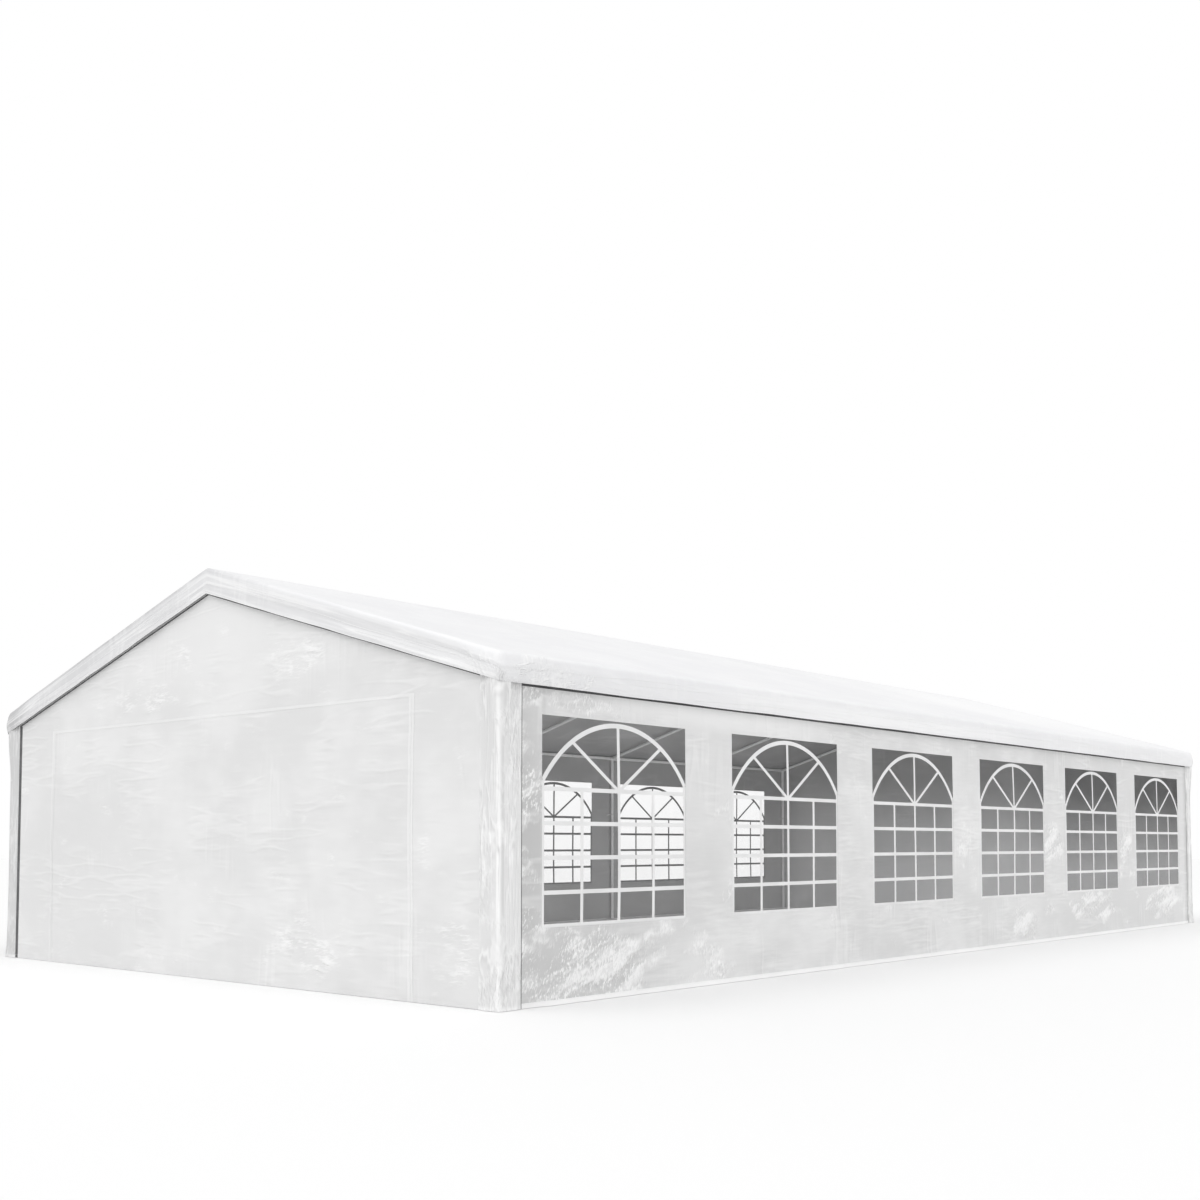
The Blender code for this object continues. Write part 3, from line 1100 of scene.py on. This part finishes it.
window = {
    # width and thickness; bars that cross differ in thickness, so none of their faces share a plane
    "arch": (0.03, 0.0013),
    "side": (0.02, 0.0011),
    "sill": (0.02, 0.0008),
    "level": (0.026, 0.0008),
    "upright": (0.026, 0.001),
    "spoke": (0.023, 0.0006),
    "rowPitch": 0.20875,
    "barRows": 4,
    "apexGap": 0.027,  # from the arch's middle line to the top of the opening
    "archRadius": 0.843,
    "archSteps": 36,
    "spokeAngle": 34.0,
    "spokeStep": 0.005,
    "step": 0.045,
    "barDepth": 0.0032,  # from the wall's face to the bars' backs
    "filmDepth": 0.0036,
    "film": 0.0005,
    "cell": 0.06,
}


def barTool():
    # flat bars along guides that are drawn in the XY plane
    tool, given = newTool("flat bars", Width="Float", Thickness="Float", Step="Float")
    curve = tool.add("GeometryNodeMeshToCurve", {0: given["Geometry"]})
    level = tool.add("GeometryNodeSetCurveNormal", {"Curve": curve}, {"mode": "Z_UP"})
    sockets = {"Curve": level, "Length": given["Step"]}
    even = tool.add("GeometryNodeResampleCurve", sockets, {"mode": "LENGTH"})
    sockets = {"Width": given["Width"], "Height": given["Thickness"]}
    profile = tool.add("GeometryNodeCurvePrimitiveQuadrilateral", sockets)
    sockets = {"Curve": even, "Profile Curve": profile, "Fill Caps": True}
    return endTool(tool, given, tool.add("GeometryNodeCurveToMesh", sockets))


def windowDrawing(width, height):
    # the bars' kinds and middle lines, drawn flat from the window's lower left corner
    radius = window["archRadius"]
    middle = width / 2
    spring = window["rowPitch"] * window["barRows"]
    apex = height - window["apexGap"]
    centre = apex - radius
    edge = window["side"][0] / 2
    side = asin((middle - edge) / radius)
    angles = [side * (2 * step / window["archSteps"] - 1) for step in range(window["archSteps"] + 1)]
    arch = [(middle + radius * sin(angle), centre + radius * cos(angle)) for angle in angles]
    bars = [("arch", arch)]
    bars += [("side", [(x, 0), (x, arch[0][1])]) for x in (edge, width - edge)]
    bars.append(("sill", [(0, edge), (width, edge)]))
    levels = [row * window["rowPitch"] for row in range(1, window["barRows"] + 1)]
    bars += [("level", [(0, level), (width, level)]) for level in levels]
    uprights = [(width * quarter / 4, apex if quarter == 2 else spring) for quarter in (1, 2, 3)]
    bars += [("upright", [(x, 0), (x, top)]) for x, top in uprights]
    slope = radians(window["spokeAngle"])
    reach = 0.0
    while hypot(reach * cos(slope), spring + reach * sin(slope) - centre) < radius:
        reach += window["spokeStep"]
    for sign in (-1, 1):
        tip = (middle + sign * reach * cos(slope), spring + reach * sin(slope))
        bars.append(("spoke", [(middle, spring), tip]))
    return bars


def windowBars(width, height):
    # all bars of one window, lying on their backs
    tool = barTool()
    points, faces = [], []
    for kind, line in windowDrawing(width, height):
        across, thickness = window[kind]
        edges = [(index, index + 1) for index in range(len(line) - 1)]
        values = {"Width": across, "Thickness": thickness, "Step": window["step"]}
        bar = runTool(tool, barPrint, [(x, y, 0) for x, y in line], edges, values)
        start = len(points)
        points += [(vertex.co.x, vertex.co.y, vertex.co.z + thickness / 2) for vertex in bar.vertices]
        faces += [[corner + start for corner in face.vertices] for face in bar.polygons]
    return points, faces


def filmPoint(side, depth):
    # place behind a long wall, whose swell it follows but not its creases
    def place(x, z, rise=0.0):
        return x, side * (wallFace - depth + rise + wallSwell(side, x, z)), z
    return place


def makeWindows():
    left, right, bottom, top = windows[0]
    points, faces = windowBars(right - left, top - bottom)
    backs = [int(all(points[corner][2] < hair for corner in face)) for face in faces]
    for label, side in sides.items():
        onBack = filmPoint(side, window["barDepth"])
        turned = [face[::-1] if side > 0 else face for face in faces]
        for number, (left, right, bottom, top) in enumerate(windows, 1):
            node = f"{label}_window_{number}"
            low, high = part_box(node)
            columns, rows = (evenLines(low[axis], high[axis], window["cell"]) for axis in (0, 2))
            pane = Patch().grid(columns, rows, filmPoint(side, window["filmDepth"]))
            sheet = pane.sheet(f"{label}WindowFilm{number}", film[label], window["film"])
            name = f"{label}WindowBars{number}"
            placed = [onBack(left + x, bottom + y, z) for x, y, z in points]
            mesh = plainMesh(name, placed, turned, barPrint)
            mesh.materials.append(barBack.material)
            mesh.polygons.foreach_set("material_index", backs)
            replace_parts(ridePiece(sheet), node)
            bars = ridePiece(addObject(name, mesh))


makeWindows()
print("windows made")


# Stitches and zips

stitch = {
    "pitch": 0.014,
    "size": (0.0085, 0.0014, 0.0012),
    "cell": 0.05,
    "bandDepth": 0.9,  # share of the band's height
    "bandProud": 0.001,
    "underHemTop": 0.006,
    "gableReach": 2.97,
    "doorReach": 2.21,
    "doorLevels": (1.882, 1.896),
    "coverInset": 0.012,
    "coverEnd": 0.01,
    "coverCell": 0.045,
    "windowGap": 0.009,
    "windowSteps": 30,
}
zipTeeth = {"pitch": 0.006, "size": (0.0032, 0.009, 0.0022), "heights": (0.012, 1.885), "cell": 0.04}


def stitchTool():
    # small blocks in a row along guides
    tool, given = newTool("stitch row", Pitch="Float", Size="Vector")
    curve = tool.add("GeometryNodeMeshToCurve", {0: given["Geometry"]})
    sockets = {"Curve": curve, "Length": given["Pitch"]}
    points = tool.add("GeometryNodeCurveToPoints", sockets, {"mode": "LENGTH"})
    block = tool.add("GeometryNodeMeshCube", {"Size": given["Size"]})
    return endOnPoints(tool, given, points, block, "X", Link(tool, points.socket.node.outputs["Tangent"]))


rowTool = stitchTool()


class Rows:
    # rows of stitches or of a zip's teeth that make one piece
    def __init__(self):
        self.points = []
        self.edges = []

    def line(self, points):
        start = len(self.points)
        self.points += points
        self.edges += [(start + step, start + step + 1) for step in range(len(points) - 1)]

    def level(self, place, columns, height):
        self.line([place(column, height) for column in columns])

    def upright(self, place, column, heights):
        self.line([place(column, height) for height in heights])

    def piece(self, name, block):
        values = {"Pitch": block["pitch"], "Size": block["size"]}
        ridePiece(addObject(name, runTool(rowTool, threadCloth, self.points, self.edges, values)))


def makeRoofStitches():
    rows = Rows()
    away = stitch["bandProud"]
    loop = [bandPlace(x, y, stitch["bandDepth"]) for x, y in roofEdge]
    points = [(x + out.x * away, y + out.y * away, z) for x, y, z, out in loop]
    rows.line(points + points[:1])
    rows.piece("roofHemStitches", stitch)


def makeWallStitches():
    rows = Rows()
    onHem = hemTop - stitch["underHemTop"]
    ends = coverLow.z + stitch["coverEnd"], coverHigh.z - stitch["coverEnd"]
    heights = evenLines(*ends, stitch["coverCell"])
    for side in (-1, 1):
        rows.level(wallPoint(side, proud["stitch"]), wallColumns, onHem)
    for end in (-1, 1):
        onGable = gablePoint(end, proud["stitch"])
        rows.level(onGable, bothWays(stitch["gableReach"], stitch["cell"]), onHem)
        for height in stitch["doorLevels"]:
            rows.level(onGable, bothWays(stitch["doorReach"], stitch["cell"]), height)
        for side in (-1, 1):
            for along in (coverFirst + stitch["coverInset"], coverLast - stitch["coverInset"]):
                rows.upright(coverPoint(end, side, proud["seam"]), along, heights)
    rows.piece("wallSeamStitches", stitch)


def makeWindowStitches():
    rows = Rows()
    gap, steps = stitch["windowGap"], stitch["windowSteps"]
    for side in (-1, 1):
        onWall = wallPoint(side, proud["seam"])
        for left, right, bottom, top in windows:
            low, high = (left - gap, bottom - gap), (right + gap, top + gap)
            corners = [low, (high[0], low[1]), high, (low[0], high[1]), low]
            for (x1, z1), (x2, z2) in zip(corners, corners[1:]):
                rows.line([onWall(x1 + (x2 - x1) * step / steps, z1 + (z2 - z1) * step / steps)
                           for step in range(steps + 1)])
    rows.piece("windowSeamStitches", stitch)


def makeZips():
    rows = Rows()
    for end in (-1, 1):
        for sign in (-1, 1):
            heights = evenLines(*zipTeeth["heights"], zipTeeth["cell"])
            rows.upright(gablePoint(end, proud["teeth"]), sign * door["zip"], heights)
    rows.piece("doorZipTeeth", zipTeeth)


# Wing bolts that hold the tubes in the connectors

bolt = {
    "radius": 0.004,
    "length": 0.018,
    "ear": 0.009,
    "earShape": (0.8, 0.22, 1.0),
    "earApart": 0.95,  # of the ear's size
    "earUp": 0.55,  # of the shank's length
    "earLean": 0.5,
    "proud": 0.003,  # of the sleeve
    "alongTube": 0.062,  # from where the tubes' middle lines meet
    "alongRafter": 0.066,
}


def boltTool():
    # a wing bolt on every guide point, standing along the point's direction
    tool, given = newTool("wing bolts", Radius="Float", Length="Float", Ear="Float")
    sockets = {"Vertices": 10, "Radius": given["Radius"], "Depth": given["Length"]}
    parts = [tool.add("GeometryNodeMeshCylinder", sockets)]
    for side in (-1, 1):
        ball = tool.add("GeometryNodeMeshUVSphere", {"Segments": 10, "Rings": 6, "Radius": given["Ear"]})
        offset = {0: given["Ear"] * (bolt["earApart"] * side), 2: given["Length"] * bolt["earUp"]}
        sockets = {
            "Geometry": ball,
            "Translation": tool.add("ShaderNodeCombineXYZ", offset),
            "Rotation": (0, side * bolt["earLean"], 0),
            "Scale": bolt["earShape"],
        }
        parts.append(tool.add("GeometryNodeTransform", sockets))
    whole = tool.tree.nodes.new("GeometryNodeJoinGeometry")
    for part in parts:
        tool.tree.links.new(part.socket, whole.inputs[0])
    settings = {"data_type": "FLOAT_VECTOR"}
    towards = tool.add("GeometryNodeInputNamedAttribute", {"Name": "direction"}, settings)
    points = tool.add("GeometryNodeMeshToPoints", {0: given["Geometry"]})
    return endOnPoints(tool, given, points, Link(tool, whole.outputs[0]), "Z", towards)


def makeBolts():
    points, directions = [], []
    angle = atan(roofSlope)
    for number in range(bayCount + 1):
        x = firstLeg + number * legSpacing
        for side in (-1, 1):
            eave, ridge = Vector((x, side * legLine, eaveLine)), Vector((x, 0, ridgeLine))
            slide = Vector((0, -side * cos(angle), sin(angle))) * bolt["alongRafter"]
            under = Vector((0, -side * sin(angle), -cos(angle)))
            inward = Vector((0, -side, 0))
            down = Vector((0, 0, -bolt["alongTube"]))
            spots = [(eave + down, inward), (eave + slide, under), (ridge - slide, under)]
            for step in (-1, 1):
                if 0 <= number + step <= bayCount:
                    spots.append((eave + Vector((step * bolt["alongTube"], 0, 0)), inward))
            for spot, way in spots:
                points.append(spot + way * (sleeveRadius + bolt["proud"]))
                directions.append(tuple(way))
    values = {"Radius": bolt["radius"], "Length": bolt["length"], "Ear": bolt["ear"]}
    ridePiece(addObject("wingBolts", runTool(boltTool(), zinc, points, [], values, directions)))


# Webbing ties round the legs, each with a loose end

tie = {
    "radius": 0.0202,
    "thickness": 0.0016,
    "height": 0.016,
    "sides": 20,
    "levels": (0.34, 1.34),
    "tail": 0.075,
    "tailSteps": 6,
    "tailHeight": 0.8,  # of the ring's
    "tailAside": 0.004,
    "droop": 0.012,
}
strapCorners = ((0, 0), (0, 1), (1, 1), (1, 0))


def addRing(points, faces, x, y, z):
    start = len(points)
    for step in range(tie["sides"]):
        angle = 2 * pi * step / tie["sides"]
        for away, up in strapCorners:
            reach = tie["radius"] + away * tie["thickness"]
            points.append((x + reach * cos(angle), y + reach * sin(angle), z + up * tie["height"]))
    for step in range(tie["sides"]):
        here, there = start + 4 * step, start + 4 * ((step + 1) % tie["sides"])
        for corner in range(4):
            after = (corner + 1) % 4
            faces.append((here + after, there + after, there + corner, here + corner))


def addTail(points, faces, x, y, z, side):
    # a strap end that leaves the ring towards the middle of the tent and droops a little
    start = len(points)
    way = -1 if x > 0 else 1
    steps = tie["tailSteps"]
    for step in range(steps + 1):
        share = step / steps
        middle = x + way * (tie["radius"] + share * tie["tail"])
        drop = tie["droop"] * share * share
        near = y + side * tie["tailAside"]
        for away, up in strapCorners:
            height = z + up * tie["tailHeight"] * tie["height"]
            points.append((middle, near + away * tie["thickness"], height - drop))
    strap = []
    for step in range(steps):
        here = start + 4 * step
        for corner in range(4):
            after = (corner + 1) % 4
            strap.append((here + corner, here + after, here + 4 + after, here + 4 + corner))
    end = start + 4 * steps
    strap += [(start + 3, start + 2, start + 1, start), (end, end + 1, end + 2, end + 3)]
    faces += strap if way < 0 else [face[::-1] for face in strap]


def makeTies():
    points, faces = [], []
    for number in range(bayCount + 1):
        for side in (-1, 1):
            x, y = firstLeg + number * legSpacing, side * legLine
            for level in tie["levels"]:
                addRing(points, faces, x, y, level)
                addTail(points, faces, x, y, level, side)
    mesh = plainMesh("legTies", points, faces, tieWebbing)
    softEdges(mesh, 40)
    ridePiece(addObject("legTies", mesh))


makeRoofStitches()
makeWallStitches()
makeWindowStitches()
makeZips()
makeBolts()
makeTies()
print("seams and hardware made")


# The steel frame keeps its shape and gets its coating

for name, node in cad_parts.items():
    if name.startswith(("leg_", "rafter_", "eave_rail", "ridge_rail")):
        for slot in node.material_slots:
            slot.material = tubeCoat.material
print("frame finished")


# Floor, light and camera

studio = {
    "floorSize": 160.0,
    "floorColour": 0.9,
    "floorTint": 1.01,
    "sky": 0.66,
    "sunStrength": 1.52,
    "sunFrom": (-0.35, -0.12, 0.93),
    "sunAngle": 75.0,
    "sideLight": 75.0,
    "sideSize": 6,
    "sidePlace": (9.0, -12.0, 3.5),
    "sideTarget": (5.0, -3.0, 1.0),
    "insideLight": 54.0,
    "insidePlace": (0.0, -1.4, 0.9),
    "insideSize": (10.5, 1.0),
}


def makeFloor():
    floor = Finish("floor_pale", Roughness=0.9)
    soft = floor.cloud(floor.objectPlace(), (0.15, 0.15, 1), detail=2)
    pale = studio["floorColour"]
    floor.set(Base_Color=floor.mix(soft, pale, pale * studio["floorTint"]))
    half = studio["floorSize"] / 2
    corners = [(-half, -half, 0), (half, -half, 0), (half, half, 0), (-half, half, 0)]
    addObject("floor", plainMesh("floor", corners, [(0, 1, 2, 3)], floor))


def makeWorld():
    world = bpy.data.worlds.new("studio")
    world.use_nodes = True
    bpy.context.scene.world = world
    sky = Nodes(world.node_tree)
    camera = sky.add("ShaderNodeLightPath", output="Is Camera Ray")
    background = world.node_tree.nodes["Background"]
    background.inputs["Color"].default_value = (1, 1, 1, 1)
    sky.feed(background.inputs["Strength"], camera * (1 - studio["sky"]) + studio["sky"])


def addLight(name, kind, energy, place, towards):
    light = bpy.data.lights.new(name, kind)
    light.energy = energy
    lamp = addObject(name, light)
    lamp.visible_camera = False
    lamp.location = place
    lamp.rotation_euler = (Vector(place) - Vector(towards)).to_track_quat("Z", "Y").to_euler()
    return light


def makeLights():
    sun = addLight("sun", "SUN", studio["sunStrength"], studio["sunFrom"], (0, 0, 0))
    sun.angle = radians(studio["sunAngle"])
    side = addLight("side light", "AREA", studio["sideLight"], studio["sidePlace"], studio["sideTarget"])
    side.size = studio["sideSize"]
    # shines level at the back wall's inner side
    x, y, z = studio["insidePlace"]
    inner = addLight("inside light", "AREA", studio["insideLight"], (x, y, z), (x, y + 1, z))
    inner.shape = "RECTANGLE"
    inner.size, inner.size_y = studio["insideSize"]


viewpoint = {
    "place": (-11.6613, -8.6966, 0.9696),
    "turn": 41.021,
    "rise": 3.0,
    "lens": 41.462,
    "sensor": 36,
    "shiftUp": 0.1426,
    "farthest": 400,
}


def makeCamera():
    lens = bpy.data.cameras.new("camera")
    lens.lens = viewpoint["lens"]
    lens.sensor_width = viewpoint["sensor"]
    lens.shift_y = viewpoint["shiftUp"]
    lens.clip_end = viewpoint["farthest"]
    camera = addObject("camera", lens)
    camera.location = viewpoint["place"]
    turn = radians(viewpoint["turn"] - 90)
    camera.rotation_euler = (radians(90 + viewpoint["rise"]), 0, turn)
    bpy.context.scene.camera = camera


makeFloor()
makeWorld()
makeLights()
makeCamera()
bpy.context.scene.view_settings.view_transform = "Standard"
print("studio made")
